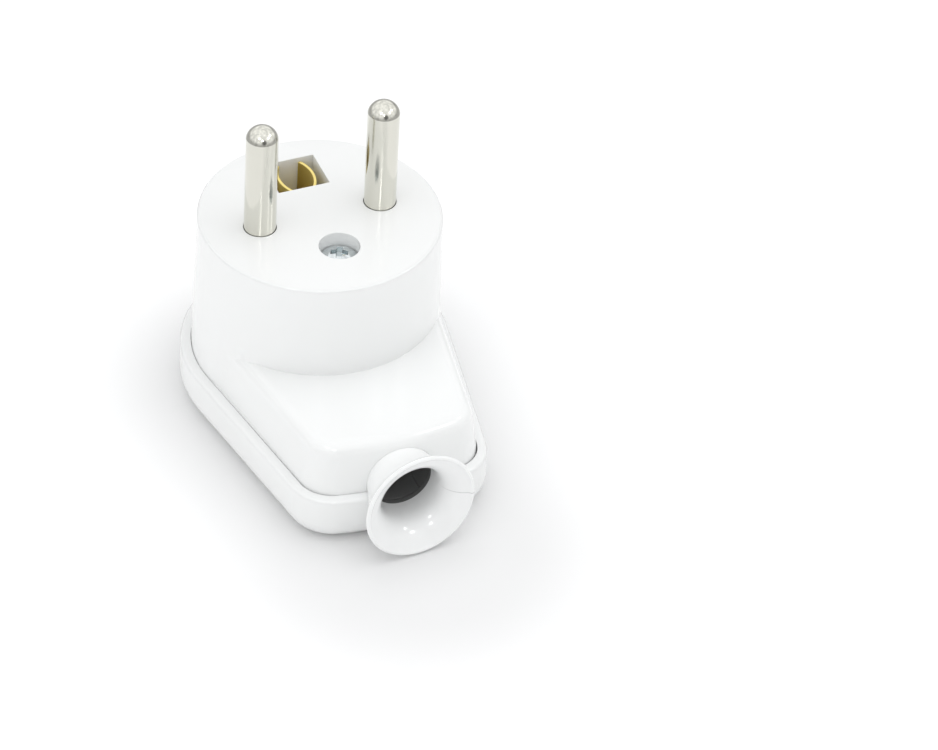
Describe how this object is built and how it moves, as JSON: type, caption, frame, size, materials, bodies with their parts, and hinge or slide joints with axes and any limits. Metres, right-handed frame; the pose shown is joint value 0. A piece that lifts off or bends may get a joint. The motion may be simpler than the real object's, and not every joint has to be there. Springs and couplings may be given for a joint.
{
  "type": "angled plug",
  "caption": "Angled mains plug with round pins, a sprung earth socket in its round face, a nose towards the cord, a screwed rear cover and a flared cord bushing.",
  "frame": {"origin": "on the flat back of the rear cover, on the axis of the round pin face", "axes": "+Z the way the pins point, +Y from the pin line to the earth socket, the cord leaves along -Y"},
  "size_m": [0.041, 0.0632, 0.0504],
  "materials": {
    "housing": "glossy white moulded plastic",
    "cover": "glossy white moulded plastic",
    "bushing": "soft white plastic with a low sheen",
    "pins": "nickel plate on brass",
    "brass": "bare spring brass",
    "zinc": "bright zinc plate on steel",
    "clamp": "dark moulded bar"
  },
  "bodies": {
    "root": {"front_body": "housing", "rear_cover": "cover", "cable_bushing": "bushing", "left_pin": "pins", "right_pin": "pins", "earth_contact": "brass", "cover_screw": "zinc", "cover_insert": "brass", "left_terminal_screw": "zinc", "right_terminal_screw": "zinc", "earth_terminal_screw": "zinc", "earth_clamp_washer": "zinc", "cord_clamp": "clamp", "left_clamp_screw": "zinc", "right_clamp_screw": "zinc"}
  },
  "joints": []
}
